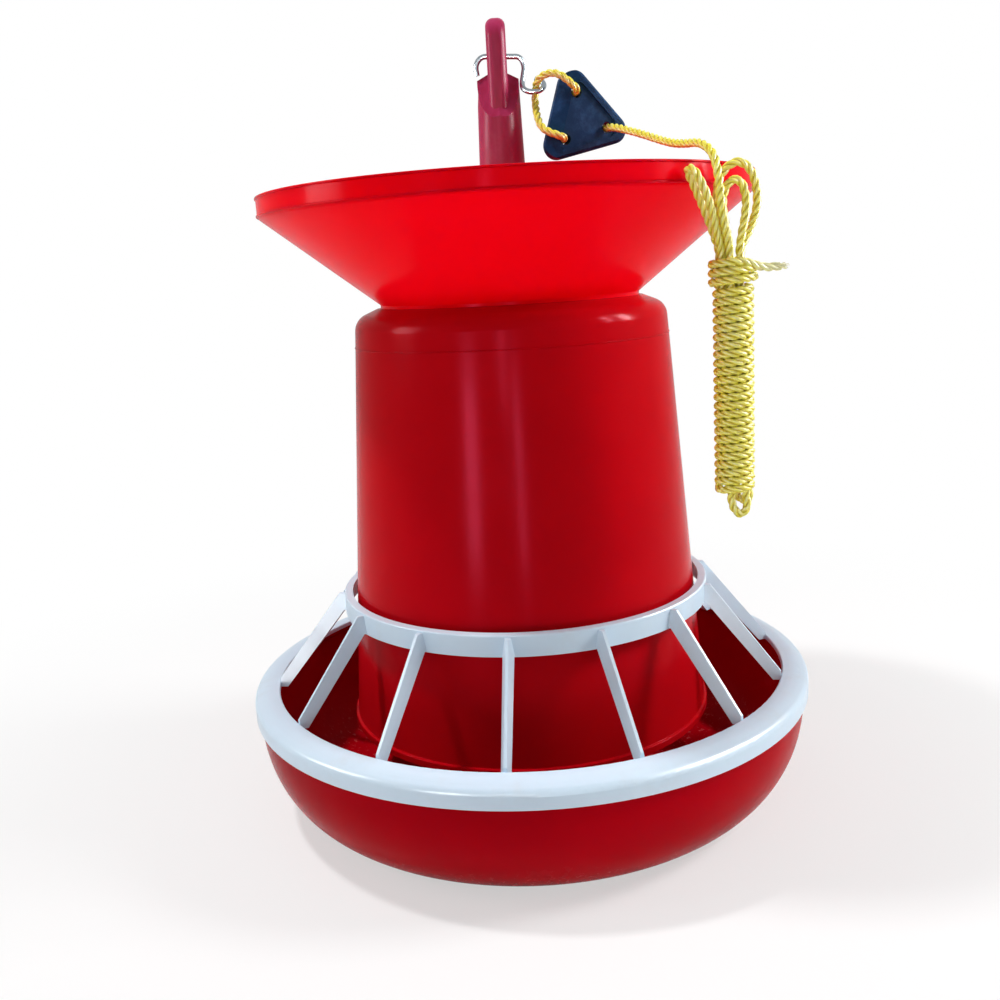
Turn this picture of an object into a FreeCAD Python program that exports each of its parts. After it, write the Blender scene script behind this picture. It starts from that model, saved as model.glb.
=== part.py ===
import FreeCAD, Part
import math
import os
from FreeCAD import Placement, Rotation
from FreeCAD import Vector as V

os.makedirs("parts", exist_ok=True)

# A hanging gravity feeder for poultry, in millimetres. Z is the feeder's axis, and z = 0 is the
# flat base of the pan. A drum stands over the pan on a central post, a funnel plugs into the
# drum's mouth, and a slatted grille drops over the pan's rim. The post ends in a lug that
# carries a wire S-hook with a rope, a rope adjuster and a wrapped hank.

# Pan
pan_rim_radius = 196.8
pan_curve_width = 54.4
pan_floor_width = 20.4
pan_bowl_height = 70.4
pan_rim_height = 13.6
pan_wall = 2.5
pan_rim_bead = 2.0
boss_radius = 30.0
boss_z = 40.0
# Drum
drum_z = 60.0
drum_radius = 128.4
drum_height = 285.5
drum_taper = 21.5
drum_shoulder_width = 17.8
drum_shoulder_rise = 6.5
drum_shoulder_round = 12.0
drum_wall = 2.2
drum_bead = 1.5
drum_bead_height = 5.0
mouth_collar_length = 16.0
# Grille
ring_clearance = 3.2
ring_width = 18.0
ring_wall = 2.2
ring_skirt = 8.0
ring_corner = 5.0
ring_crown = 4.2
ring_rise = 3.8
ring_lip = 3.4
ring_seat_gap = 1.0
collar_rise = 57.0
collar_height = 14.0
collar_gap = 2.5
collar_width = 5.7
collar_wall = 2.5
slat_count = 14
slat_width = 6.7
slat_edge_width = 2.0
slat_depth = 8.2
slat_proud = 5.0
slat_shoulder = 4.0
slat_top_drop = 1.5
slat_foot_rise = 0.5
slat_overrun = 1.5
slat_first_deg = -5.4
# Funnel
funnel_fit = 0.3
funnel_seat_gap = 2.3
funnel_neck_length = 14.0
funnel_radius = 164.7
funnel_height = 60.3
funnel_band_height = 12.6
funnel_band_round = 4.0
funnel_wall = 2.2
# Spider that guides the drum on the post
hub_fit = 0.4
hub_wall = 4.5
hub_above_drum_foot = 14.0
hub_height = 24.0
arm_count = 3
arm_first_deg = -30.0
arm_thickness = 3.0
arm_height = 12.0
# Post
post_radius = 24.0
post_straight_spare = 32.0
post_top_radius = 13.8
post_wall = 2.5
post_floor = 5.0
post_cap = 10.0
facet_drop = 24.0
facet_peak = 7.0
lug_top_z = 534.0
lug_height = 38.0
lug_thickness = 13.0
lug_width = 24.0
lug_round = 5.0
eye_radius = 6.0
eye_depth = 20.0
# Clamp screw in the hub
screw_radius = 3.0
screw_fit = 0.05
screw_tip_gap = 0.1
screw_neck = 4.0
wing_span = 18.0
wing_length = 10.0
wing_thickness = 3.0
# Bolt that holds the post on the pan's boss
bolt_radius = 4.0
bolt_fit = 0.3
bolt_head_across = 13.0
bolt_head_height = 5.3
nut_height = 6.5
washer_radius = 12.0
washer_thickness = 1.6
bolt_end = 4.0
# S-hook, placed from where its wire lies in the lug's eye
hook_wire_radius = 1.75
hook_bow_radius = 8.0
hook_bow_left = -6.0
hook_bow_right = 9.5
hook_wire_drop = 2.5
hook_bow_entry_deg = [210, 165, 120]
hook_bow_exit_deg = [45, 0]
hook_eye_radius = 7.0
hook_eye_offset = V(23.0, -7.0, -21.5)
hook_eye_lean_deg = 48.0
hook_eye_deg = range(165, 436, 45)
# Rope adjuster, placed from the same wire
adjuster_offset = V(52.6, -14.0, -46.0)
adjuster_turn_deg = 18.0
adjuster_roll_deg = 103.0
adjuster_corner_distance = 40.0
adjuster_corner_round = 9.0
adjuster_thickness = 13.0
adjuster_bevel = 2.0
adjuster_rim = 5.0
adjuster_pocket = 1.5
adjuster_hole_radius = 3.6
adjuster_hole_distance = 17.5
adjuster_slope_start = 9.0
adjuster_slope_depth = 7.0
# Rope
rope_radius = 2.5
knot_radius = 6.0
knot_length = 10.0
knot_round = 2.5
hank_centre = V(128.0, -125.0, 0)
hank_radius = 12.0
hank_head_radius = 14.5
hank_head_length = 16.0
hank_top_z = 374.0
hank_bottom_z = 236.0
# Small roundings on moulded edges
edge_round = 1.0

# Places that follow from these sizes
pan_rim_z = pan_bowl_height + pan_rim_height
pan_base_radius = pan_rim_radius - pan_curve_width
cone_foot_radius = pan_base_radius - pan_floor_width
drum_shoulder_radius = drum_radius - drum_taper
drum_shoulder_z = drum_z + drum_height
drum_mouth_z = drum_shoulder_z + drum_shoulder_rise
mouth_radius = drum_shoulder_radius - drum_shoulder_width
ring_radius = pan_rim_radius + ring_clearance
ring_inner_radius = ring_radius - ring_width
funnel_neck_radius = mouth_radius - funnel_fit
funnel_z = drum_mouth_z + funnel_seat_gap
funnel_band_z = funnel_z + funnel_height
funnel_top_z = funnel_band_z + funnel_band_height
hub_z = drum_z + hub_above_drum_foot
post_straight_z = hub_z + hub_height + post_straight_spare
post_top_z = lug_top_z - lug_height
eye_z = lug_top_z - eye_depth
hook_wire_z = eye_z - hook_wire_drop
hook_wire_place = V(0, 0, hook_wire_z)

UP = V(0, 0, 1)
ALONG_X = V(1, 0, 0)
TINY = 1e-6
# The ring's crown is rounded by this share of the ring's width
CROWN_SHARE = 0.9
# The share of the shorter run that a bend may take at each of its ends
USUAL_SHARE = 0.45
FULL_SHARE = 0.49


def outline(points):
    """A closed wire in the XZ plane through (r, z, rounding) corners."""
    edges = []
    count = len(points)
    ends = []
    for i, (r, z, rounding) in enumerate(points):
        here = V(r, 0, z)
        before = V(points[i - 1][0], 0, points[i - 1][1])
        after = V(points[(i + 1) % count][0], 0, points[(i + 1) % count][1])
        ends.append(corner(before, here, after, rounding))
    for i, (start, middle, stop) in enumerate(ends):
        if middle is not None:
            edges.append(Part.Arc(start, middle, stop).toShape())
        following = ends[(i + 1) % count][0]
        if stop.distanceToPoint(following) > TINY:
            edges.append(Part.LineSegment(stop, following).toShape())
    return Part.Wire(edges)


def corner(before, here, after, rounding):
    """Where a rounding starts, its middle and where it stops; the corner itself if sharp."""
    to_before = (before - here).normalize()
    to_after = (after - here).normalize()
    half = to_before.getAngle(to_after) / 2
    if rounding <= 0 or math.pi / 2 - half < 1e-4:
        return here, None, here
    cut = rounding / math.tan(half)
    start = here + to_before * cut
    stop = here + to_after * cut
    bisector = (to_before + to_after).normalize()
    centre = here + bisector * (rounding / math.sin(half))
    return start, centre - bisector * rounding, stop


def turned(points):
    """The solid that an outline makes when it turns once round the Z axis."""
    face = Part.Face(outline(points))
    return face.revolve(V(0, 0, 0), UP, 360)


def beyond(point, normal, size):
    """A block that fills the side of a plane that its normal points to."""
    block = Part.makeBox(2 * size, 2 * size, size, V(-size, -size, 0))
    block.Placement = Placement(point, Rotation(UP, normal))
    return block


def route(points, share):
    """Straight runs joined by tangent arcs, each as large as its two runs allow."""
    edges = []
    radii = []
    last = points[0]
    for before, here, after in zip(points, points[1:], points[2:]):
        turn = (here - before).getAngle(after - here)
        shorter = min(before.distanceToPoint(here), here.distanceToPoint(after))
        radius = share * shorter / math.tan(turn / 2)
        start, middle, stop = corner(before, here, after, radius)
        edges.append(Part.LineSegment(last, start).toShape())
        edges.append(Part.Arc(start, middle, stop).toShape())
        radii.append(radius)
        last = stop
    edges.append(Part.LineSegment(last, points[-1]).toShape())
    return Part.Wire(edges), radii


def round_bar(name, points, radius, share=USUAL_SHARE):
    """A round bar or a rope along a route, with its length and its tightest bend printed."""
    path, radii = route(points, share)
    along = points[1] - points[0]
    disc = Part.Wire(Part.makeCircle(radius, points[0], along))
    bar = path.makePipeShell([disc], True, False)
    expected = math.pi * radius**2 * path.Length
    print(f"{name}: length {path.Length:.1f}, tightest radius {min(radii):.1f},"
          f" radii {[round(r, 1) for r in radii]}, volume {bar.Volume / expected:.4f} of expected")
    return bar


def ring_of(shape, count, first_deg=0.0):
    """Copies of a shape, evenly spaced round the Z axis."""
    copies = []
    for i in range(count):
        copy = shape.copy()
        copy.rotate(V(0, 0, 0), UP, first_deg + 360.0 / count * i)
        copies.append(copy)
    return copies


def hexagon(across, height, z):
    """A hexagonal prism on the Z axis."""
    half = across / 2 / math.cos(math.pi / 6)
    turns = [math.pi / 3 * i for i in range(7)]
    points = [V(half * math.cos(t), half * math.sin(t), z) for t in turns]
    return Part.Face(Part.makePolygon(points)).extrude(V(0, 0, height))


# The pan is a shallow bowl. Its wall is a quarter of an ellipse between two offsets, and a
# hollow cone in the middle sheds the feed outwards and carries the post on its flat top.
def bowl_section():
    """The pan's wall and cone, as one closed wire in the XZ plane."""
    def wall_arc(inset):
        """A quarter of an ellipse, from the flat base out to the upright rim."""
        low = V(pan_base_radius, 0, inset)
        side = V(pan_rim_radius - inset, 0, pan_bowl_height)
        quarter = Part.BezierCurve()
        quarter.setPoles([low, V(side.x, 0, low.z), side])
        quarter.setWeight(2, math.sqrt(0.5))
        return quarter.toShape(), low, side

    outer, outer_low, outer_side = wall_arc(0.0)
    inner, inner_low, inner_side = wall_arc(pan_wall)
    rim = pan_rim_z
    bead = pan_rim_bead
    outside = V(pan_rim_radius, 0, rim - bead / 2)
    top_out = V(pan_rim_radius - bead / 2, 0, rim)
    top_in = V(pan_rim_radius - pan_wall - bead / 2, 0, rim)
    bead_in = V(pan_rim_radius - pan_wall - bead, 0, rim - bead / 2)
    bead_low = V(pan_rim_radius - pan_wall - bead, 0, rim - 2 * bead)
    inside = V(pan_rim_radius - pan_wall, 0, rim - 3 * bead)
    foot_in = V(cone_foot_radius, 0, pan_wall)
    slope = math.atan2(boss_z - pan_wall, cone_foot_radius - boss_radius)
    shift = pan_wall * math.tan(slope / 2)
    boss_edge = V(boss_radius, 0, boss_z)
    hole = bolt_radius + bolt_fit
    hole_top = V(hole, 0, boss_z)
    hole_low = V(hole, 0, boss_z - pan_wall)
    boss_under = V(boss_radius - shift, 0, boss_z - pan_wall)
    foot_out = V(cone_foot_radius - shift, 0, 0)
    chain = [outer_side, outside, top_out, top_in, bead_in, bead_low, inside, inner_side]
    edges = [Part.LineSegment(a, b).toShape() for a, b in zip(chain, chain[1:])]
    floor = [inner_low, foot_in, boss_edge, hole_top, hole_low, boss_under, foot_out, outer_low]
    edges += [Part.LineSegment(a, b).toShape() for a, b in zip(floor, floor[1:])]
    return Part.Wire(Part.__sortEdges__(edges + [outer, inner]))


feed_pan = Part.Face(bowl_section()).revolve(V(0, 0, 0), UP, 360)

# The grille drops over the pan's rim. It is one moulding: an outer ring with a skirt, a collar
# round the drum, and thin fins between them. Each is a solid of its own that meets the next.
ring_under_z = pan_rim_z + ring_seat_gap
ring_top_z = ring_under_z + ring_wall
ring_edge_z = ring_top_z + ring_rise
ring_low_z = ring_edge_z - ring_lip
ring_middle = ring_radius - ring_width / 2
ring_skirt_z = pan_rim_z - ring_skirt
crown_round = CROWN_SHARE * ring_width
grille_outer_ring = turned([
    (ring_radius, ring_skirt_z, 0),
    (ring_radius, ring_top_z, ring_corner),
    (ring_middle, ring_top_z + ring_crown, crown_round),
    (ring_inner_radius, ring_edge_z, edge_round),
    (ring_inner_radius, ring_low_z, 0),
    (ring_inner_radius + ring_wall, ring_low_z, 0),
    (ring_inner_radius + ring_wall, ring_edge_z - ring_wall, 0),
    (ring_middle, ring_under_z + ring_crown, crown_round),
    (ring_radius - ring_wall, ring_under_z, ring_corner - ring_wall),
    (ring_radius - ring_wall, ring_skirt_z, 0),
])

# The collar stands clear of the drum at its own height.
drum_slope = drum_taper / drum_height
collar_z = pan_rim_z + collar_rise
collar_top_z = collar_z + collar_height
collar_hole_radius = drum_radius - drum_slope * (collar_z - drum_z) + collar_gap
collar_radius = collar_hole_radius + collar_width
grille_top_ring = turned([
    (collar_hole_radius, collar_top_z, 0),
    (collar_radius, collar_top_z, edge_round),
    (collar_radius, collar_z, 0),
    (collar_radius - collar_wall, collar_z, 0),
    (collar_radius - collar_wall, collar_top_z - collar_wall, edge_round),
    (collar_hole_radius, collar_top_z - collar_wall, 0),
])

# A slat runs from the collar to the inner edge of the outer ring, a little proud of both. Its
# sides spread from a narrow upper edge. It is drawn a little too long and then trimmed to the
# two rings.
slat_top_z = collar_top_z - slat_top_drop
slat_foot_z = collar_z + slat_foot_rise
slat_top = V(collar_radius + slat_shoulder, 0, slat_top_z)
slat_end = V(ring_inner_radius + slat_overrun, 0, ring_edge_z + slat_foot_rise)
slat_points = [
    V(collar_radius - slat_overrun, 0, slat_top_z),
    slat_top,
    slat_end,
    V(ring_inner_radius + slat_overrun, 0, ring_low_z),
    V(ring_inner_radius - slat_proud, 0, ring_low_z),
    V(collar_radius + slat_overrun, 0, slat_foot_z),
    V(collar_radius - slat_overrun, 0, slat_foot_z),
    V(collar_radius - slat_overrun, 0, slat_top_z),
]
slat_room = slat_width / 2 + slat_overrun
slat = Part.Face(Part.makePolygon(slat_points)).extrude(V(0, 2 * slat_room, 0))
slat.translate(V(0, -slat_room, 0))
slat_upward = V(slat_top.z - slat_end.z, 0, slat_end.x - slat_top.x).normalize()
for side in (-1, 1):
    spread = V(0, side * (slat_width - slat_edge_width) / 2, 0) - slat_upward * slat_depth
    side_normal = (slat_end - slat_top).cross(spread).normalize() * side
    slat = slat.cut(beyond(slat_top + V(0, side * slat_edge_width / 2, 0), side_normal, ring_radius))
between = Part.makeCylinder(ring_inner_radius, lug_top_z).cut(
    Part.makeCylinder(collar_radius, lug_top_z))
slats = ring_of(slat.common(between), slat_count, slat_first_deg - 90.0)
grille_slats = Part.makeCompound([s.Solids[0] for s in slats])

# The drum is a cone with a rounded shoulder and a collar that turns down inside its mouth.
shoulder_slope = math.atan2(drum_shoulder_rise, drum_shoulder_width - drum_wall)
shoulder_drop = drum_wall / math.cos(shoulder_slope)
shoulder_inner_z = drum_shoulder_z + drum_wall * math.tan(shoulder_slope) - shoulder_drop
bead_top_z = drum_z + drum_bead_height
feed_drum = turned([
    (drum_radius + drum_bead, drum_z, edge_round / 2),
    (drum_radius + drum_bead, bead_top_z, edge_round),
    (drum_radius - drum_slope * drum_bead_height, bead_top_z, edge_round / 2),
    (drum_shoulder_radius, drum_shoulder_z, drum_shoulder_round),
    (mouth_radius + drum_wall, drum_mouth_z, edge_round),
    (mouth_radius, drum_mouth_z, 0),
    (mouth_radius, drum_mouth_z - mouth_collar_length, 0),
    (mouth_radius + drum_wall, drum_mouth_z - mouth_collar_length, 0),
    (mouth_radius + drum_wall, drum_mouth_z - shoulder_drop, edge_round / 2),
    (drum_shoulder_radius - drum_wall, shoulder_inner_z, drum_shoulder_round - drum_wall),
    (drum_radius - drum_wall, drum_z, 0),
])

# The funnel's neck stands in the drum's mouth with a small gap, and its cone rests over it.
funnel_slope = math.atan2(funnel_band_z - funnel_z, funnel_radius - funnel_neck_radius)
funnel_inset = funnel_wall * math.tan((math.pi / 2 - funnel_slope) / 2)
fill_funnel = turned([
    (funnel_neck_radius, funnel_z - funnel_neck_length, 0),
    (funnel_neck_radius, funnel_z, edge_round),
    (funnel_radius, funnel_band_z, funnel_band_round),
    (funnel_radius, funnel_top_z, edge_round),
    (funnel_radius - funnel_wall, funnel_top_z, edge_round),
    (funnel_radius - funnel_wall, funnel_band_z + funnel_inset, funnel_band_round - funnel_wall),
    (funnel_neck_radius - funnel_wall, funnel_z + funnel_inset, edge_round + funnel_wall),
    (funnel_neck_radius - funnel_wall, funnel_z - funnel_neck_length, 0),
])

# The post stands on the boss. It is round and straight where the hub slides, tapers above
# that, and is closed by four facets that lead up to the flat lug.
post_foot_z = boss_z
facet_low_z = post_top_z - facet_drop
post_slope = (post_radius - post_top_radius) / (post_top_z - post_straight_z)
post_outside = turned([
    (0, post_foot_z, 0),
    (post_radius, post_foot_z, 0),
    (post_radius, post_straight_z, 0),
    (post_top_radius, post_top_z, 0),
    (post_top_radius, post_top_z + 2 * facet_peak, 0),
    (0, post_top_z + 2 * facet_peak, 0),
])
bore_top_z = facet_low_z - post_cap
post_bore = turned([
    (0, post_foot_z + post_floor, 0),
    (post_radius - post_wall, post_foot_z + post_floor, 0),
    (post_radius - post_wall, post_straight_z, 0),
    (post_radius - post_wall - post_slope * (bore_top_z - post_straight_z), bore_top_z, 0),
    (0, bore_top_z, 0),
])
hanger_post = post_outside
low_radius = post_top_radius + post_slope * facet_drop
for side in (-1, 1):
    for face in (-1, 1):
        front = V(0, face * low_radius, facet_low_z)
        shoulder = V(side * post_top_radius, 0, post_top_z)
        ridge = V(0, 0, post_top_z + facet_peak)
        normal = (shoulder - front).cross(ridge - front).normalize()
        if normal.z < 0:
            normal = normal * -1
        hanger_post = hanger_post.cut(beyond(front, normal, 2 * lug_height))
lug_half = lug_width / 2
lug_outline = [
    (-lug_half, facet_low_z, 0),
    (-lug_half, lug_top_z, lug_half),
    (lug_half, lug_top_z, lug_half),
    (lug_half, facet_low_z, 0),
]
lug = Part.Face(outline(lug_outline)).extrude(V(0, lug_thickness, 0))
lug.translate(V(0, -lug_thickness / 2, 0))
lug.rotate(V(0, 0, 0), UP, 90)
lug_edges = [e for e in lug.Edges if e.BoundBox.XLength < TINY and e.BoundBox.ZMax > eye_z]
lug = lug.makeFillet(lug_round, lug_edges)
eye = Part.makeCylinder(eye_radius, 2 * lug_thickness, V(-lug_thickness, 0, eye_z), V(1, 0, 0))
bolt_hole = Part.makeCylinder(bolt_radius + bolt_fit, 2 * post_floor, V(0, 0, post_foot_z - post_wall))
hanger_post = hanger_post.fuse(lug).cut(post_bore).cut(eye).cut(bolt_hole).removeSplitter()

# One bolt holds the post on the boss, with its head and washer in the hollow under the cone.
washer_z = boss_z - pan_wall - washer_thickness
foot_washer = Part.makeCylinder(washer_radius, washer_thickness, V(0, 0, washer_z)).cut(
    Part.makeCylinder(bolt_radius + bolt_fit, washer_thickness, V(0, 0, washer_z)))
nut_z = post_foot_z + post_floor
shank = Part.makeCylinder(bolt_radius, nut_z + nut_height + bolt_end - washer_z, V(0, 0, washer_z))
foot_bolt = hexagon(bolt_head_across, bolt_head_height, washer_z - bolt_head_height).fuse(
    shank).removeSplitter()
foot_nut = hexagon(bolt_head_across, nut_height, nut_z).cut(
    Part.makeCylinder(bolt_radius + screw_fit, nut_height, V(0, 0, nut_z)))

# The spider holds the drum on the post: a hub with a running fit, and arms out to the wall.
hub_radius = post_radius + hub_fit + hub_wall
hub = Part.makeCylinder(hub_radius, hub_height, V(0, 0, hub_z))
arm_z = hub_z + (hub_height - arm_height) / 2
arm = Part.makeBox(drum_radius, arm_thickness, arm_height, V(0, -arm_thickness / 2, arm_z))
drum_room = turned([
    (0, drum_z, 0),
    (drum_radius - drum_wall, drum_z, 0),
    (drum_shoulder_radius - drum_wall, shoulder_inner_z, 0),
    (0, shoulder_inner_z, 0),
])
spider = hub
for each in ring_of(arm, arm_count, arm_first_deg):
    spider = spider.fuse(each)
spider = spider.common(drum_room)
spider = spider.cut(Part.makeCylinder(post_radius + hub_fit, lug_top_z))
screw_z = hub_z + hub_height / 2
screw_hole = Part.makeCylinder(screw_radius + screw_fit, drum_radius / 2, V(0, 0, screw_z), V(0, -1, 0))
drum_spider = spider.cut(screw_hole).removeSplitter()

# The clamp screw goes through the hub's front wall and stops just short of the post.
screw_start = post_radius + screw_tip_gap
screw_end = hub_radius + screw_neck
clamp_screw = Part.makeCylinder(screw_radius, screw_end - screw_start, V(0, -screw_start, screw_z),
                                V(0, -1, 0))
wing = Part.makeBox(wing_thickness, wing_length, wing_span,
                    V(-wing_thickness / 2, -screw_end - wing_length, screw_z - wing_span / 2))
clamp_screw = clamp_screw.fuse(wing).removeSplitter()

# The S-hook is one bent wire: an open bow through the lug, a neck, and a small eye that leans.
def around(centre, first, second, radius, degrees):
    """The corners of a polygon whose arcs of contact have the given radius."""
    step = math.radians(degrees[1] - degrees[0])
    outer = radius / math.cos(step / 2)
    return [centre + first * (outer * math.cos(math.radians(d)))
            + second * (outer * math.sin(math.radians(d))) for d in degrees]


bow_z = hook_wire_z - hook_bow_radius
left = V(hook_bow_left, 0, bow_z)
right = V(hook_bow_right, 0, bow_z)
lean = math.radians(hook_eye_lean_deg)
eye_back = V(0, math.sin(lean), math.cos(lean))
hook_eye_centre = hook_wire_place + hook_eye_offset
hook_points = around(left, ALONG_X, UP, hook_bow_radius, hook_bow_entry_deg)
hook_points += around(right, ALONG_X, UP, hook_bow_radius, hook_bow_exit_deg)
hook_points += around(hook_eye_centre, ALONG_X, eye_back, hook_eye_radius, hook_eye_deg)
s_hook = round_bar("s_hook", hook_points, hook_wire_radius, FULL_SHARE)

# The adjuster is a rounded triangle with a bevelled edge, a pocket in its face and three holes.
adjuster_turn = math.radians(adjuster_turn_deg)
across = V(math.cos(adjuster_turn), math.sin(adjuster_turn), 0)
facing = V(math.sin(adjuster_turn), -math.cos(adjuster_turn), 0)
corner_turns = [math.radians(adjuster_roll_deg + 120 * i) for i in range(3)]


def triangle(distance, rounding):
    """A rounded triangle in the XZ plane, about the origin."""
    return outline([(distance * math.cos(t), distance * math.sin(t), rounding) for t in corner_turns])


half = adjuster_thickness / 2
plate = Part.Face(triangle(adjuster_corner_distance, adjuster_corner_round)).extrude(
    V(0, adjuster_thickness, 0))
plate.translate(V(0, -half, 0))
rim_edges = [e for e in plate.Edges if abs(e.BoundBox.YMax - e.BoundBox.YMin) < TINY]
plate = plate.makeChamfer(adjuster_bevel, rim_edges)
pocket = Part.Face(triangle(adjuster_corner_distance - 2 * adjuster_rim,
                            adjuster_corner_round - adjuster_rim / 2)).extrude(
    V(0, adjuster_pocket, 0))
pocket.translate(V(0, -half, 0))
plate = plate.cut(pocket)
holes = []
for t in corner_turns:
    place = V(adjuster_hole_distance * math.cos(t), 0, adjuster_hole_distance * math.sin(t))
    holes.append(place)
    plate = plate.cut(Part.makeCylinder(adjuster_hole_radius, 2 * adjuster_thickness,
                                        place - V(0, adjuster_thickness, 0), V(0, 1, 0)))
slope_width = adjuster_corner_distance / 2 - adjuster_slope_start
slope_turn = math.radians(adjuster_roll_deg + 60)
outward = V(math.cos(slope_turn), 0, math.sin(slope_turn))
slope_normal = outward * adjuster_slope_depth + V(0, -slope_width, 0)
slope_foot = outward * adjuster_slope_start + V(0, -half, 0)
plate = plate.cut(beyond(slope_foot, slope_normal.normalize(), 2 * adjuster_corner_distance))
rope_adjuster = plate.removeSplitter()
adjuster_place = Placement(hook_wire_place + adjuster_offset, Rotation(across, facing * -1, UP, "ZXY"))
rope_adjuster.Placement = adjuster_place
hole_at = [adjuster_place.multVec(h) for h in holes]
print("adjuster holes", [tuple(round(c, 1) for c in h) for h in hole_at])

# The rope starts at a stopper knot behind one hole, loops through the hook's small eye, runs
# behind the adjuster to the third hole, and crosses over the funnel's rim into a hank that hangs
# outside it. The hank is wound round the folded rope, whose bights stick out at both ends.
rope_lead_points = [
    V(38.4, -11.8, 453.6), V(43.2, -26.6, 453.6), V(33.9, -25.3, 457.1), V(26.8, -20.3, 461.5),
    V(24.5, -13.5, 469.5), V(24.0, -6.0, 477.0), V(24.0, -1.5, 484.5), V(24.5, -8.0, 490.5),
    V(28.0, -14.0, 494.5), V(34.5, -19.5, 495.5), V(40.5, -23.5, 493.0), V(46.5, -25.5, 487.5),
    V(51.6, -23.6, 482.5), V(45.9, -6.1, 482.5), V(65.5, 0.3, 460.4), V(71.5, -17.9, 460.4),
    V(80.0, -33.0, 456.0), V(87.5, -50.0, 451.0), V(94.5, -68.0, 445.5), V(101.0, -86.0, 440.5),
    V(106.0, -103.5, 438.0), V(111.0, -120.5, 436.9), V(116.3, -132.0, 430.0), V(118.3, -136.5, 417.0),
    V(119.0, -137.0, 402.0), V(122.3, -134.5, 388.0), V(126.3, -130.4, 374.0),
]
rim_bight_points = [
    V(121.8, -127.7, 374.0), V(117.5, -133.0, 387.0), V(114.0, -137.0, 399.0), V(110.5, -139.0, 409.0),
    V(106.5, -140.0, 416.5), V(103.5, -139.5, 421.5), V(101.0, -134.8, 421.5), V(104.5, -133.0, 414.5),
    V(109.0, -130.5, 405.0), V(113.5, -128.0, 395.0), V(118.0, -125.0, 384.0), V(121.8, -122.3, 374.0),
]
outer_bight_points = [
    V(126.3, -119.8, 374.0), V(123.5, -119.0, 388.0), V(120.5, -119.5, 401.0), V(120.0, -120.5, 413.0),
    V(124.5, -121.0, 422.0), V(132.5, -121.0, 426.0), V(139.5, -120.0, 421.0), V(143.0, -119.0, 411.5),
    V(143.5, -119.0, 399.5), V(138.5, -120.5, 387.0), V(130.8, -122.4, 374.0),
]
inner_bight_points = [
    V(126.3, -125.0, 374.0), V(125.0, -126.0, 385.0), V(122.5, -127.0, 396.0), V(122.0, -127.0, 406.5),
    V(126.0, -127.0, 415.0), V(132.5, -126.5, 415.0), V(135.8, -126.0, 405.5), V(134.8, -126.5, 394.5),
    V(132.3, -127.5, 384.0), V(130.8, -127.6, 374.0),
]
long_foot_bight_points = [
    V(125.0, -127.0, 236.0), V(126.0, -127.0, 227.5), V(131.0, -127.0, 221.5), V(135.5, -127.0, 227.5),
    V(133.5, -127.0, 236.0),
]
short_foot_bight_points = [
    V(129.0, -119.5, 236.0), V(132.5, -118.0, 229.5), V(138.5, -118.5, 229.0), V(137.0, -120.5, 236.0),
]
tail_points = [
    V(138.0, -130.0, 367.5), V(145.5, -132.0, 366.0), V(154.5, -131.0, 366.5),
]
rope_lead = round_bar("rope_lead", rope_lead_points, rope_radius)
rim_bight = round_bar("rim bight", rim_bight_points, rope_radius)
outer_bight = round_bar("outer bight", outer_bight_points, rope_radius)
inner_bight = round_bar("inner bight", inner_bight_points, rope_radius)
rope_top_bights = Part.makeCompound([rim_bight, outer_bight, inner_bight])
long_foot_bight = round_bar("long foot bight", long_foot_bight_points, rope_radius)
short_foot_bight = round_bar("short foot bight", short_foot_bight_points, rope_radius)
rope_foot_bights = Part.makeCompound([long_foot_bight, short_foot_bight])
rope_tail = round_bar("rope_tail", tail_points, rope_radius)

hank_head_z = hank_top_z - hank_head_length
rope_hank = turned([
    (0, hank_bottom_z, 0),
    (hank_radius, hank_bottom_z, edge_round),
    (hank_radius, hank_head_z, edge_round),
    (hank_head_radius, hank_head_z + hank_head_radius - hank_radius, edge_round),
    (hank_head_radius, hank_top_z, edge_round),
    (0, hank_top_z, 0),
])
rope_hank.translate(hank_centre)

# The stopper knot bears on the adjuster's back, round the rope's end.
knot_start = rope_lead_points[0]
rope_knot = turned([
    (0, 0, 0),
    (knot_radius, 0, knot_round),
    (knot_radius, knot_length, knot_round),
    (0, knot_length, 0),
])
rope_knot.Placement = Placement(knot_start, Rotation(UP, facing * -1))

nodes = {
    "feed_pan": feed_pan,
    "hanger_post": hanger_post,
    "foot_bolt": foot_bolt,
    "foot_washer": foot_washer,
    "foot_nut": foot_nut,
    "feed_drum": feed_drum,
    "drum_spider": drum_spider,
    "clamp_screw": clamp_screw,
    "fill_funnel": fill_funnel,
    "grille_top_ring": grille_top_ring,
    "grille_slats": grille_slats,
    "grille_outer_ring": grille_outer_ring,
    "s_hook": s_hook,
    "rope_adjuster": rope_adjuster,
    "rope_lead": rope_lead,
    "rope_knot": rope_knot,
    "rope_top_bights": rope_top_bights,
    "rope_hank": rope_hank,
    "rope_foot_bights": rope_foot_bights,
    "rope_tail": rope_tail,
}
for name, shape in nodes.items():
    shape.exportStep(f"parts/{name}.step")
    print(name, "solids", len(shape.Solids), "valid", shape.isValid(), "volume", round(shape.Volume))
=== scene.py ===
import math
import random
import bmesh
import bpy
from mathutils import Matrix, Vector
from mathutils.kdtree import KDTree


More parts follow.
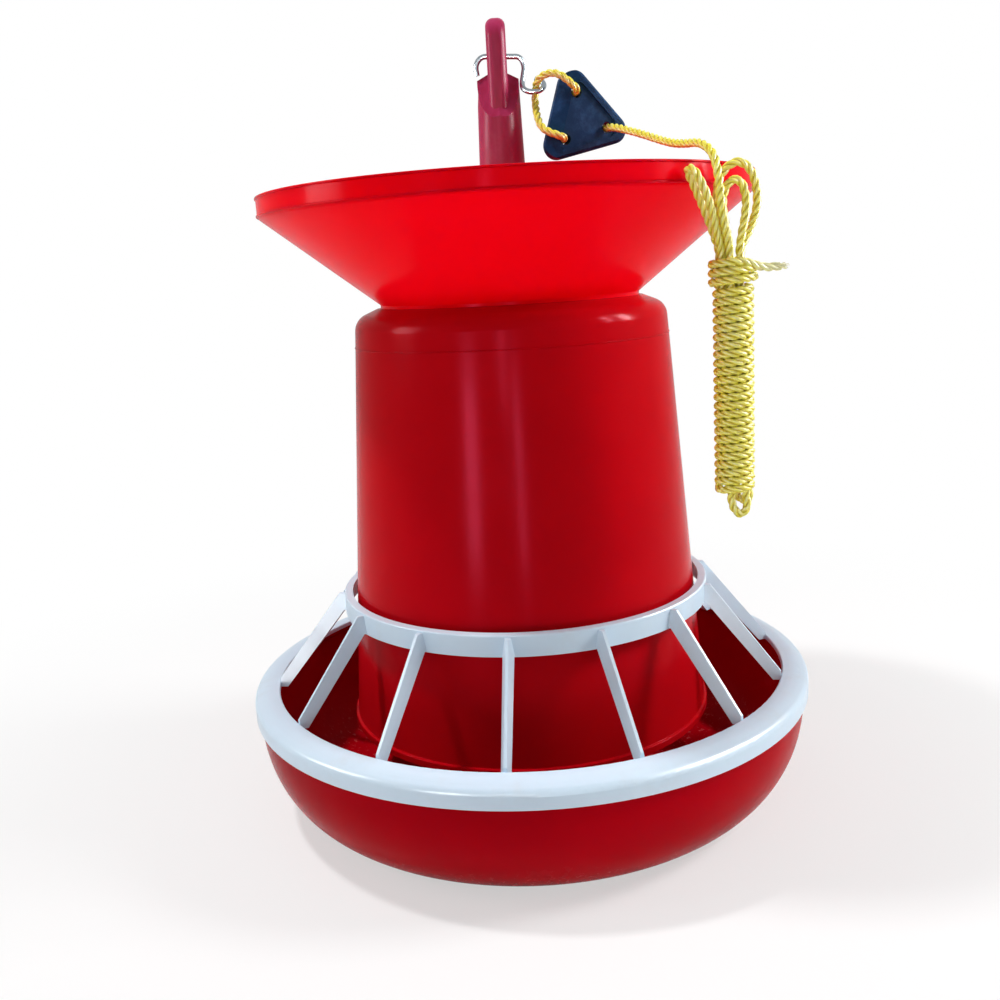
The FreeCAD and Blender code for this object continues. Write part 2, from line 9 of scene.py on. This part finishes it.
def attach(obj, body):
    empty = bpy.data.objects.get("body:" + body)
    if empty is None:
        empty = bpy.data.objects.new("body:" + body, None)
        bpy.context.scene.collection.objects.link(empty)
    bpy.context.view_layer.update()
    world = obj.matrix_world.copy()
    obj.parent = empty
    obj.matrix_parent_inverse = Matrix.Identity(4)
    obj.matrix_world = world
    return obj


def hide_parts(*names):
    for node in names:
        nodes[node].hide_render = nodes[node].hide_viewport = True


# A hanging gravity feeder for poultry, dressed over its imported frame, in metres. Z is the feeder's
# axis, the front is -Y, and z = 0 is the flat base of the pan.
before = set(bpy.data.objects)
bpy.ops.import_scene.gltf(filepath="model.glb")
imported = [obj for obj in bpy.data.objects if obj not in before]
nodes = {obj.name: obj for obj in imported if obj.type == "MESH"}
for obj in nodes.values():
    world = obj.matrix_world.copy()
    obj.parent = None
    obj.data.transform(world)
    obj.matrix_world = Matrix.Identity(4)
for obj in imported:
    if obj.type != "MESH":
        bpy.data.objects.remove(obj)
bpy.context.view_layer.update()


# The pan is a shallow bowl, injection moulded in deep red polypropylene. Its wall is glossy with
# a faint orange peel, and its foot is scuffed where it has been dragged over the ground.
class Wire:
    """A socket in a material. Operators on it add Math nodes, and node() adds any other node."""

    def __init__(self, tree, socket=None):
        self.tree = tree
        self.socket = socket

    def node(self, kind, output, inputs, **settings):
        made = self.tree.nodes.new("ShaderNode" + kind)
        for name, value in settings.items():
            setattr(made, name, value)
        for name, value in inputs.items():
            if isinstance(value, Wire):
                self.tree.links.new(value.socket, made.inputs[name])
            else:
                made.inputs[name].default_value = value
        return Wire(self.tree, made.outputs[output] if made.outputs else None)

    def maths(self, operation, first, second):
        return self.node("Math", "Value", {0: first, 1: second}, operation=operation)

    def __add__(self, other):
        return self.maths("ADD", self, other)

    def __rsub__(self, other):
        return self.maths("SUBTRACT", other, self)

    def __mul__(self, other):
        return self.maths("MULTIPLY", self, other)


def noise(wire, place, scale, detail=3.0, rough=0.55):
    """Noise from 0 to 1 at a point."""
    return wire.node("TexNoise", "Fac", {"Vector": place, "Scale": scale, "Detail": detail,
                                         "Roughness": rough})


def step(wire, value, low, high):
    """0 below low, 1 above high, and smooth between them."""
    return wire.node("MapRange", "Result", {"Value": value, "From Min": low, "From Max": high},
                     interpolation_type="SMOOTHSTEP")


def mix(wire, share, first, second):
    """A colour that goes from the first to the second as share goes from 0 to 1."""
    return wire.node("Mix", 2, {0: share, 6: first, 7: second}, data_type="RGBA")


def colour(red, green, blue):
    return (red, green, blue, 1)


def finish(name, wires, **values):
    """A Principled material. Values are set on the shader, and wires(wire) gives linked inputs."""
    material = bpy.data.materials.new(name)
    material.use_nodes = True
    tree = material.node_tree
    shader = tree.nodes["Principled BSDF"]
    for socket, value in values.items():
        shader.inputs[socket.replace("_", " ")].default_value = value
    for socket, wire in wires(Wire(tree)).items():
        tree.links.new(wire.socket, shader.inputs[socket])
    return material


def dress(names, material):
    """Gives CAD nodes a material in place of their plain one."""
    for name in names:
        mesh = nodes[name].data
        mesh.materials.clear()
        mesh.materials.append(material)


def moulded_red(base, deep, gloss, scuff_top):
    """Glossy moulded plastic with slow shade changes, orange peel, and scuffs below scuff_top."""
    def wires(wire):
        place = wire.node("TexCoord", "Object", {})
        height = wire.node("SeparateXYZ", "Z", {"Vector": place})
        cloud = noise(wire, place, 7.0)
        dents = noise(wire, place, 260.0, 4.0, 0.7)
        foot = 1 - step(wire, height, scuff_top * 0.3, scuff_top)
        scuffs = step(wire, dents, 0.56, 0.7) * foot
        smudge = step(wire, noise(wire, place, 18.0, 6.0), 0.45, 0.75)
        peel = noise(wire, place, 420.0, 2.0)
        shade = mix(wire, step(wire, cloud, 0.3, 0.7), deep, base)
        worn = mix(wire, scuffs * 0.35, shade, colour(0.72, 0.16, 0.14))
        bumps = wire.node("Bump", "Normal", {"Height": peel + scuffs * 6.0, "Strength": 0.05,
                                             "Distance": 0.0006})
        return {"Base Color": worn, "Roughness": smudge * 0.08 + scuffs * 0.2 + gloss, "Normal": bumps}
    return wires


highlight_tint = colour(1.0, 0.12, 0.28)
red_scatter = dict(Subsurface_Weight=0.22, Subsurface_Radius=(1.0, 0.06, 0.04), Subsurface_Scale=0.006,
                   Specular_IOR_Level=0.025, Specular_Tint=highlight_tint)
pan_red = finish("pan_red_gloss",
                 moulded_red(base=colour(0.46, 0.001, 0.007), deep=colour(0.38, 0.001, 0.006),
                             gloss=0.2, scuff_top=0.034), **red_scatter)
dress(["feed_pan"], pan_red)


# The post is a maroon polypropylene moulding with a steel bolt, washer and nut in its foot.
# Its four facets lead up to a flat lug, and its skin is duller than the pan's.
def post_wires(wire):
    place = wire.node("TexCoord", "Object", {})
    stretched = wire.node("Mapping", "Vector", {"Vector": place, "Scale": (1, 1, 0.12)})
    flow = noise(wire, stretched, 60.0, 5.0)
    rub = step(wire, noise(wire, place, 35.0, 6.0, 0.7), 0.52, 0.72)
    shade = mix(wire, step(wire, flow, 0.35, 0.65), colour(0.35, 0.018, 0.065), colour(0.46, 0.04, 0.13))
    worn = mix(wire, rub * 0.25, shade, colour(0.54, 0.1, 0.18))
    grain = wire.node("Bump", "Normal", {"Height": noise(wire, place, 700.0) + flow * 0.6,
                                         "Strength": 0.1, "Distance": 0.0005})
    return {"Base Color": worn, "Roughness": rub * 0.15 + 0.33, "Normal": grain}


def zinc_wires(wire):
    place = wire.node("TexCoord", "Object", {})
    spangle = noise(wire, place, 240.0, 4.0, 0.6)
    dull = step(wire, noise(wire, place, 90.0, 5.0), 0.45, 0.7)
    tone = mix(wire, dull, colour(0.44, 0.50, 0.54), colour(0.27, 0.31, 0.34))
    drawn = wire.node("Bump", "Normal", {"Height": spangle, "Strength": 0.15, "Distance": 0.0003})
    return {"Base Color": tone, "Roughness": dull * 0.22 + 0.24, "Normal": drawn}


post_maroon = finish("post_maroon", post_wires, Subsurface_Weight=0.08, Specular_IOR_Level=0.07,
                     Subsurface_Radius=(1.0, 0.08, 0.06), Subsurface_Scale=0.003)
zinc = finish("zinc_plate", zinc_wires, Metallic=1.0)
dress(["hanger_post"], post_maroon)
dress(["foot_bolt", "foot_washer", "foot_nut", "clamp_screw"], zinc)

# The drum is a red cone with a rounded shoulder. A fine witness line shows where the mould's two
# halves met under the shoulder. Its spider is moulded in the same red.
drum_radius = 0.1284
drum_shoulder_radius = 0.1069
drum_low_z = 0.060
drum_shoulder_z = 0.3455
witness_z = 0.3265
witness_radius = 0.0004
witness_steps = 160
witness_sides = 8

drum_red = finish("drum_red_gloss",
                  moulded_red(base=colour(0.58, 0.003, 0.008), deep=colour(0.50, 0.002, 0.007),
                              gloss=0.17, scuff_top=0.05), **red_scatter)
dress(["feed_drum", "drum_spider"], drum_red)


def ring_mesh(name, radius, z, bead_radius, steps, sides):
    """A thin bead round the Z axis, made by spinning a small disc's outline."""
    bm = bmesh.new()
    place = Matrix.Translation((radius, 0, z)) @ Matrix.Rotation(math.pi / 2, 4, "X")
    made = bmesh.ops.create_circle(bm, segments=sides, radius=bead_radius, matrix=place)
    edges = list({e for v in made["verts"] for e in v.link_edges})
    bmesh.ops.spin(bm, geom=made["verts"] + edges, cent=(0, 0, 0), axis=(0, 0, 1),
                   angle=2 * math.pi, steps=steps, use_merge=True)
    bmesh.ops.remove_doubles(bm, verts=bm.verts, dist=bead_radius / 50)
    bmesh.ops.recalc_face_normals(bm, faces=bm.faces)
    for face in bm.faces:
        face.smooth = True
    mesh = bpy.data.meshes.new(name)
    bm.to_mesh(mesh)
    bm.free()
    piece = bpy.data.objects.new(name, mesh)
    bpy.context.scene.collection.objects.link(piece)
    return piece


drum_taper = (drum_radius - drum_shoulder_radius) / (drum_shoulder_z - drum_low_z)
witness_line = ring_mesh("drum_witness_line", drum_radius - drum_taper * (witness_z - drum_low_z),
                         witness_z, witness_radius, witness_steps, witness_sides)
witness_line.data.materials.append(drum_red)
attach(witness_line, "drum")

# The funnel is a brighter red than the drum, and its thin wall lets light through. A small lip
# runs round the top of its upright band.
funnel_radius = 0.1647
funnel_top_z = 0.4272
funnel_band_z = 0.4146
lip_radius = 0.0008
lip_steps = 180
lip_sides = 10

funnel_red = finish("funnel_red_gloss",
                    moulded_red(base=colour(0.97, 0.001, 0.011), deep=colour(0.90, 0.001, 0.008),
                                gloss=0.16, scuff_top=0.05),
                    Subsurface_Weight=0.85, Subsurface_Radius=(1.0, 0.05, 0.04), Subsurface_Scale=0.01,
                    Specular_IOR_Level=0.02, Specular_Tint=highlight_tint)
dress(["fill_funnel"], funnel_red)
for name, z in (("funnel_lip", funnel_top_z - lip_radius),
                ("funnel_band_line", funnel_band_z + lip_radius)):
    lip = ring_mesh(name, funnel_radius, z, lip_radius, lip_steps, lip_sides)
    lip.data.materials.append(funnel_red)
    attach(lip, "funnel")


# The grille is one moulding in cool white polypropylene: a crowned outer ring, a collar and thin
# slats. Dust and feed leave a faint warm grey on it.
def grille_wires(wire):
    place = wire.node("TexCoord", "Object", {})
    dust = step(wire, noise(wire, place, 22.0, 6.0, 0.65), 0.5, 0.8)
    clean = mix(wire, noise(wire, place, 8.0), colour(0.62, 0.77, 0.92), colour(0.70, 0.86, 0.98))
    dusty = mix(wire, dust * 0.3, clean, colour(0.6, 0.62, 0.6))
    grain = wire.node("Bump", "Normal", {"Height": noise(wire, place, 500.0), "Strength": 0.08,
                                         "Distance": 0.0005})
    return {"Base Color": dusty, "Roughness": dust * 0.2 + 0.3, "Normal": grain}


grille_white = finish("grille_white", grille_wires, Subsurface_Weight=0.1, Specular_IOR_Level=0.3,
                      Subsurface_Radius=(1.0, 1.0, 1.0), Subsurface_Scale=0.002)
dress(["grille_outer_ring", "grille_slats", "grille_top_ring"], grille_white)

# The S-hook is one bent wire, zinc plated like the bolt. Its bow lies in the lug's eye, and its
# small eye carries the rope.
dress(["s_hook"], zinc)


# The rope adjuster is a blue-black moulding with a bevelled edge and three holes. Its face is
# uneven, with a paler bloom in patches.
def adjuster_wires(wire):
    place = wire.node("TexCoord", "Object", {})
    chalk = step(wire, noise(wire, place, 60.0, 6.0, 0.7), 0.42, 0.75)
    tone = mix(wire, chalk, colour(0.010, 0.042, 0.12), colour(0.026, 0.10, 0.27))
    grain = wire.node("Bump", "Normal", {"Height": noise(wire, place, 900.0, 2.0), "Strength": 0.2,
                                         "Distance": 0.0004})
    return {"Base Color": tone, "Roughness": chalk * 0.15 + 0.32, "Normal": grain}


adjuster_black = finish("adjuster_black", adjuster_wires, Specular_IOR_Level=0.04)
dress(["rope_adjuster"], adjuster_black)

# The rope is one length of yellow three-strand polypropylene. It starts at a stopper knot behind
# the adjuster, loops through the hook's eye and crosses the funnel's rim. The rest is folded
# into bights and wrapped into a hank, and its free end is frayed.
rope_lay = 0.0165
strand_count = 3
strand_offset = 0.00127
strand_radius = 0.00126
sample_step = 0.0013
hank_x = 0.128
hank_y = -0.125
wrap_radius = 0.0097
wrap_low_z = 0.2385
wrap_high_z = 0.3575
wrap_turns = 24
head_radius = 0.0121
head_low_z = 0.3590
head_high_z = 0.3712
head_turns = 2.4
wrap_first_deg = 160
wrap_points = 14

lead_points = [
    (0.0384, -0.0118, 0.4536), (0.0432, -0.0266, 0.4536), (0.0339, -0.0253, 0.4571),
    (0.0268, -0.0203, 0.4615), (0.0245, -0.0135, 0.4695), (0.0240, -0.0060, 0.4770),
    (0.0240, -0.0015, 0.4845), (0.0245, -0.0080, 0.4905), (0.0280, -0.0140, 0.4945),
    (0.0345, -0.0195, 0.4955), (0.0405, -0.0235, 0.4930), (0.0465, -0.0255, 0.4875),
    (0.0516, -0.0236, 0.4825), (0.0459, -0.0061, 0.4825), (0.0655, 0.0003, 0.4604),
    (0.0715, -0.0179, 0.4604), (0.0800, -0.0330, 0.4560), (0.0875, -0.0500, 0.4510),
    (0.0945, -0.0680, 0.4455), (0.1010, -0.0860, 0.4405), (0.1060, -0.1035, 0.4380),
    (0.1110, -0.1205, 0.4369), (0.1163, -0.1320, 0.4300), (0.1183, -0.1365, 0.4170),
    (0.1190, -0.1370, 0.4020), (0.1223, -0.1345, 0.3880), (0.1263, -0.1304, 0.3740),
]
long_foot_points = [
    (0.1250, -0.1270, 0.2360), (0.1260, -0.1270, 0.2275), (0.1310, -0.1270, 0.2215),
    (0.1355, -0.1270, 0.2275), (0.1335, -0.1270, 0.2360),
]
inner_bight_points = [
    (0.1308, -0.1276, 0.3740), (0.1323, -0.1275, 0.3840), (0.1348, -0.1265, 0.3945),
    (0.1358, -0.1260, 0.4055), (0.1325, -0.1265, 0.4150), (0.1260, -0.1270, 0.4150),
    (0.1220, -0.1270, 0.4065), (0.1225, -0.1270, 0.3960), (0.1250, -0.1260, 0.3850),
    (0.1263, -0.1250, 0.3740),
]
short_foot_points = [
    (0.1290, -0.1195, 0.2360), (0.1325, -0.1180, 0.2295), (0.1385, -0.1185, 0.2290),
    (0.1370, -0.1205, 0.2360),
]
outer_bight_points = [
    (0.1308, -0.1224, 0.3740), (0.1385, -0.1205, 0.3870), (0.1435, -0.1190, 0.3995),
    (0.1430, -0.1190, 0.4115), (0.1395, -0.1200, 0.4210), (0.1325, -0.1210, 0.4260),
    (0.1245, -0.1210, 0.4220), (0.1200, -0.1205, 0.4130), (0.1205, -0.1195, 0.4010),
    (0.1235, -0.1190, 0.3880), (0.1263, -0.1198, 0.3740),
]
hidden_fold_points = [
    (0.1275, -0.1205, 0.2520), (0.1260, -0.1238, 0.2410), (0.1238, -0.1270, 0.2520),
]
rim_bight_points = [
    (0.1218, -0.1277, 0.3740), (0.1175, -0.1330, 0.3870), (0.1140, -0.1370, 0.3990),
    (0.1105, -0.1390, 0.4090), (0.1065, -0.1400, 0.4165), (0.1035, -0.1395, 0.4215),
    (0.1010, -0.1348, 0.4215), (0.1045, -0.1330, 0.4145), (0.1090, -0.1305, 0.4050),
    (0.1135, -0.1280, 0.3950), (0.1180, -0.1250, 0.3840), (0.1218, -0.1223, 0.3740),
]
wrap_start_points = [(0.1225, -0.1225, 0.2500)]
tail_points = [(0.1405, -0.1330, 0.3672), (0.1455, -0.1320, 0.3660), (0.1545, -0.1310, 0.3665)]


def wrapping(radius, low_z, high_z, turns):
    """A wrapping's points round the hank, rising evenly."""
    count = round(turns * wrap_points)
    found = []
    for i in range(count):
        share = i / count
        angle = math.radians(wrap_first_deg + 360 * turns * share)
        found.append((hank_x + radius * math.cos(angle), hank_y + radius * math.sin(angle),
                      low_z + (high_z - low_z) * share))
    return found


rope_points = (lead_points + long_foot_points + inner_bight_points + short_foot_points
               + outer_bight_points + hidden_fold_points + rim_bight_points + wrap_start_points
               + wrapping(wrap_radius, wrap_low_z, wrap_high_z, wrap_turns)
               + wrapping(head_radius, head_low_z, head_high_z, head_turns) + tail_points)


def spline_line(name, points):
    """The smooth line of a NURBS spline with these control points, as a list of places."""
    curve = bpy.data.curves.new(name, "CURVE")
    curve.dimensions = "3D"
    spline = curve.splines.new("NURBS")
    spline.points.add(len(points) - 1)
    for point, place in zip(spline.points, points):
        point.co = (*place, 1)
    spline.order_u = 3
    spline.use_endpoint_u = True
    spline.resolution_u = 10
    holder = bpy.data.objects.new(name, curve)
    line = bpy.data.meshes.new_from_object(holder)
    places = [v.co.copy() for v in line.vertices]
    bpy.data.objects.remove(holder)
    bpy.data.meshes.remove(line)
    return places


def even_steps(places, length):
    """Places a fixed distance apart along a line."""
    found = [places[0]]
    left = length
    for here, there in zip(places, places[1:]):
        run = (there - here).length
        done = 0.0
        while run - done >= left:
            done += left
            found.append(here.lerp(there, done / run))
            left = length
        left -= run - done
    return found


def rope_mesh(name, places):
    """Strands laid round a line, as one mesh, with how far out and from the end each point is."""
    curve = bpy.data.curves.new(name, "CURVE")
    curve.dimensions = "3D"
    curve.bevel_depth = strand_radius
    curve.bevel_resolution = 2
    curve.use_fill_caps = True
    side = (places[1] - places[0]).orthogonal().normalized()
    forward = (places[1] - places[0]).normalized()
    offsets = []
    for i, place in enumerate(places):
        ahead = (places[min(i + 1, len(places) - 1)] - places[max(i - 1, 0)]).normalized()
        side = forward.rotation_difference(ahead) @ side
        side = (side - ahead * side.dot(ahead)).normalized()
        forward = ahead
        offsets.append((side.copy(), ahead.cross(side)))
    for strand in range(strand_count):
        spline = curve.splines.new("POLY")
        spline.points.add(len(places) - 1)
        for i, (place, (across, over)) in enumerate(zip(places, offsets)):
            angle = 2 * math.pi * (i * sample_step / rope_lay + strand / strand_count)
            out = across * math.cos(angle) + over * math.sin(angle)
            spline.points[i].co = (*(place + out * strand_offset), 1)
    holder = bpy.data.objects.new(name, curve)
    mesh = bpy.data.meshes.new_from_object(holder)
    bpy.data.objects.remove(holder)
    tree = KDTree(len(places))
    for i, place in enumerate(places):
        tree.insert(place, i)
    tree.balance()
    crest = mesh.attributes.new("crest", "FLOAT", "POINT")
    along = mesh.attributes.new("along", "FLOAT", "POINT")
    for i, vertex in enumerate(mesh.vertices):
        index, distance = tree.find(vertex.co)[1:]
        crest.data[i].value = distance / (strand_offset + strand_radius)
        along.data[i].value = (len(places) - index) * sample_step
    for polygon in mesh.polygons:
        polygon.use_smooth = True
    return mesh


def rope_wires(wire):
    crest = wire.node("Attribute", "Fac", {}, attribute_name="crest")
    to_end = wire.node("Attribute", "Fac", {}, attribute_name="along")
    place = wire.node("TexCoord", "Object", {})
    fibre_place = wire.node("Mapping", "Vector", {"Vector": wire.node("TexCoord", "UV", {}),
                                                  "Scale": (900, 14, 1)})
    fibre = noise(wire, fibre_place, 1.0, 3.0)
    patch = noise(wire, place, 55.0, 3.0)
    # Painted shade: the yellow darkens to orange in the crevices between the strands, where a point lies
    # near the rope's centre line.
    body = mix(wire, step(wire, crest, 0.45, 0.95), colour(0.58, 0.39, 0.006), colour(0.90, 0.82, 0.05))
    # Painted highlight: pale yellow patches on the outermost strand crests, in noise-picked places.
    painted_crest_highlight = mix(wire, step(wire, crest, 0.86, 1.02) * step(wire, patch, 0.3, 0.7), body,
              colour(0.91, 0.90, 0.33))
    streaked = mix(wire, step(wire, fibre, 0.5, 0.85) * 0.5, painted_crest_highlight, colour(0.97, 0.94, 0.5))
    bare_end = 1 - step(wire, to_end, 0.008, 0.03)
    faded = mix(wire, bare_end * 0.6, streaked, colour(0.86, 0.88, 0.62))
    threads = wire.node("Bump", "Normal", {"Height": fibre, "Strength": 0.5, "Distance": 0.0003})
    return {"Base Color": faded, "Roughness": fibre * 0.15 + 0.35, "Normal": threads}


rope_yellow = finish("rope_yellow", rope_wires, Subsurface_Weight=0.12,
                     Subsurface_Radius=(1.0, 0.8, 0.1), Subsurface_Scale=0.0015)
rope_line = even_steps(spline_line("rope_route", rope_points), sample_step)
rope = bpy.data.objects.new("feeder_rope", rope_mesh("feeder_rope", rope_line))
bpy.context.scene.collection.objects.link(rope)
rope.data.materials.append(rope_yellow)
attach(rope, "hook")
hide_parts("rope_lead", "rope_top_bights", "rope_hank", "rope_foot_bights", "rope_tail")

# The stopper knot is an overhand knot drawn up tight behind the adjuster, with the rope's strands
# running through it.
knot_centre = Vector((0.0369, -0.0070, 0.4536))
knot_size = 0.0011
knot_turn_deg = 18
knot_steps = 24
knot_turn = Matrix.Rotation(math.radians(knot_turn_deg), 3, "Z") @ Matrix.Rotation(math.pi / 2, 3, "X")
knot_points = []
for i in range(knot_steps + 1):
    t = 2 * math.pi * i / knot_steps
    bend = Vector((math.sin(t) + 2 * math.sin(2 * t), math.cos(t) - 2 * math.cos(2 * t),
                   -1.5 * math.sin(3 * t)))
    knot_points.append(tuple(knot_centre + knot_turn @ bend * knot_size))
knot = bpy.data.objects.new("rope_stopper_knot", rope_mesh(
    "rope_stopper_knot", even_steps(spline_line("knot_route", knot_points), sample_step / 2)))
bpy.context.scene.collection.objects.link(knot)
knot.data.materials.append(rope_yellow)
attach(knot, "hook")
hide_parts("rope_knot")

# The free end has come apart into loose fibres, which are bleached paler than the rope and spread
# outwards unevenly.
random.seed(7)
fray_count = 22
fray_radius = 0.00022
fray_way = ((-0.3, 0.6), (0.3, 0.8), (0.7, 1.0), (1.0, 1.35))
end_place = rope_line[-1]
end_way = (rope_line[-1] - rope_line[-4]).normalized()
fray_curve = bpy.data.curves.new("rope_fray", "CURVE")
fray_curve.dimensions = "3D"
fray_curve.bevel_depth = fray_radius
fray_curve.bevel_resolution = 1
for i in range(fray_count):
    turn = Matrix.Rotation(2 * math.pi * i / fray_count, 3, end_way)
    out = turn @ end_way.orthogonal().normalized()
    spread = random.uniform(0.0006, 0.0021)
    reach = random.uniform(0.002, 0.0045)
    strand = fray_curve.splines.new("NURBS")
    strand.points.add(len(fray_way) - 1)
    for point, (far, wide) in zip(strand.points, fray_way):
        point.co = (*(end_place + end_way * reach * far + out * spread * wide), 1)
    strand.order_u = 3
    strand.use_endpoint_u = True
fray_holder = bpy.data.objects.new("rope_fray_holder", fray_curve)
fray = bpy.data.objects.new("rope_fray", bpy.data.meshes.new_from_object(fray_holder))
bpy.data.objects.remove(fray_holder)
bpy.context.scene.collection.objects.link(fray)


def fray_wires(wire):
    place = wire.node("TexCoord", "Object", {})
    tone = mix(wire, noise(wire, place, 400.0), colour(0.9, 0.86, 0.4), colour(0.9, 0.9, 0.74))
    return {"Base Color": tone}


fray.data.materials.append(finish("rope_fray", fray_wires, Roughness=0.5))
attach(fray, "hook")

# The studio: a pale floor that whitens away from the feeder, one lamp high on the left and a wide
# one low on each side. Strips give the streaks on the glossy drum, and windows the spots on its
# shoulder; both are seen only in reflections.
floor_half = 20.0
floor_drop = 0.0005
near_white = 0.55
whitening_start = 0.25
whitening_end = 0.75
mirror_share = 0.4
world_light = 0.3
bm = bmesh.new()
bmesh.ops.create_grid(bm, x_segments=1, y_segments=1, size=floor_half,
                      matrix=Matrix.Translation((0, 0, -floor_drop)))
floor_mesh = bpy.data.meshes.new("floor")
bm.to_mesh(floor_mesh)
bm.free()
floor = bpy.data.objects.new("floor", floor_mesh)
bpy.context.scene.collection.objects.link(floor)
floor_white = bpy.data.materials.new("floor_white")
floor_white.use_nodes = True
floor_white.node_tree.nodes.clear()
paint = Wire(floor_white.node_tree)


def background_share(wire):
    """1 for rays that show the white background, less in reflections, and 0 for the light itself."""
    return wire.maths("MINIMUM", wire.node("LightPath", "Is Camera Ray", {})
                      + wire.node("LightPath", "Is Glossy Ray", {}) * mirror_share
                      + wire.node("LightPath", "Is Transmission Ray", {}), 1.0)


distance = paint.node("VectorMath", "Value", {0: paint.node("TexCoord", "Object", {})},
                      operation="LENGTH")
own_white = step(paint, distance, whitening_start, whitening_end) * (1 - near_white) + near_white
matt = paint.node("BsdfDiffuse", "BSDF", {"Color": colour(0.9, 0.9, 0.9)})
white = paint.node("Emission", "Emission", {"Color": colour(1, 1, 1), "Strength": 1.0})
surface = paint.node("MixShader", "Shader", {0: background_share(paint) * own_white, 1: matt, 2: white})
paint.node("OutputMaterial", None, {"Surface": surface})
floor_mesh.materials.append(floor_white)


def lamp(name, place, aim, width, height, watts, mirrored=True, scattered=True):
    """An area lamp. One that isn't mirrored makes no highlight, and one that isn't scattered makes
    only highlights."""
    light = bpy.data.lights.new(name, "AREA")
    light.shape = "RECTANGLE"
    light.size = width
    light.size_y = height
    light.energy = watts
    holder = bpy.data.objects.new(name, light)
    holder.location = place
    holder.rotation_euler = (Vector(aim) - Vector(place)).to_track_quat("-Z", "Y").to_euler()
    holder.visible_glossy = mirrored
    holder.visible_diffuse = scattered
    bpy.context.scene.collection.objects.link(holder)


lamp("high_left", (-0.74, -0.06, 1.94), (0, 0, 0.3), 0.16, 0.16, 20, mirrored=False)
lamp("low_left", (-1.5, -0.35, 1.0), (0, 0, 0.3), 0.6, 0.6, 3.5, mirrored=False)
lamp("low_right", (1.5, -0.15, 1.2), (0, 0, 0.3), 0.5, 0.5, 20, mirrored=False)
lamp("tall_strip", (-0.79, -1.37, 0.21), (0, 0, 0.2), 0.22, 0.40, 24, scattered=False)
lamp("thin_strip", (0.02, -1.6, 0.2), (0, 0, 0.2), 0.1, 0.38, 10, scattered=False)
lamp("upper_strip", (-0.2, -1.57, 0.45), (0, 0, 0.3), 0.06, 0.18, 5, scattered=False)
lamp("window_left", (1.12, -0.42, 0.77), (0.07, -0.08, 0.34), 0.14, 0.45, 34, scattered=False)
lamp("window_right", (1.18, -0.04, 0.73), (0.07, -0.08, 0.34), 0.14, 0.45, 34, scattered=False)
lamp("window_far", (-1.19, -0.22, 0.68), (-0.07, -0.08, 0.34), 0.4, 0.5, 18, scattered=False)

world = bpy.data.worlds.new("studio")
bpy.context.scene.world = world
world.use_nodes = True
air = Wire(world.node_tree)
level = background_share(air) * (1 - world_light) + world_light
backdrop = world.node_tree.nodes["Background"]
backdrop.inputs["Color"].default_value = (1, 1, 1, 1)
world.node_tree.links.new(level.socket, backdrop.inputs["Strength"])
bpy.context.scene.view_settings.view_transform = "Standard"

# The camera stands in front and a little above the feeder's middle. It looks down, and is turned
# and rolled slightly.
camera_place = (0, -0.7359, 0.3729)
pitch = math.radians(12.364)
yaw = math.radians(-1.138)
roll = math.radians(-3.315)
forward = Vector((math.sin(yaw) * math.cos(pitch), math.cos(yaw) * math.cos(pitch), -math.sin(pitch)))
across_view = Vector((math.cos(yaw), -math.sin(yaw), 0))
upward = across_view.cross(forward)
right = across_view * math.cos(roll) + upward * math.sin(roll)
above = upward * math.cos(roll) - across_view * math.sin(roll)
lens = bpy.data.cameras.new("camera")
lens.sensor_width = 36
lens.lens = 37.64
camera = bpy.data.objects.new("camera", lens)
camera.matrix_world = Matrix.Translation(camera_place) @ Matrix(
    (right, above, -forward)).transposed().to_4x4()
bpy.context.scene.collection.objects.link(camera)
bpy.context.scene.camera = camera
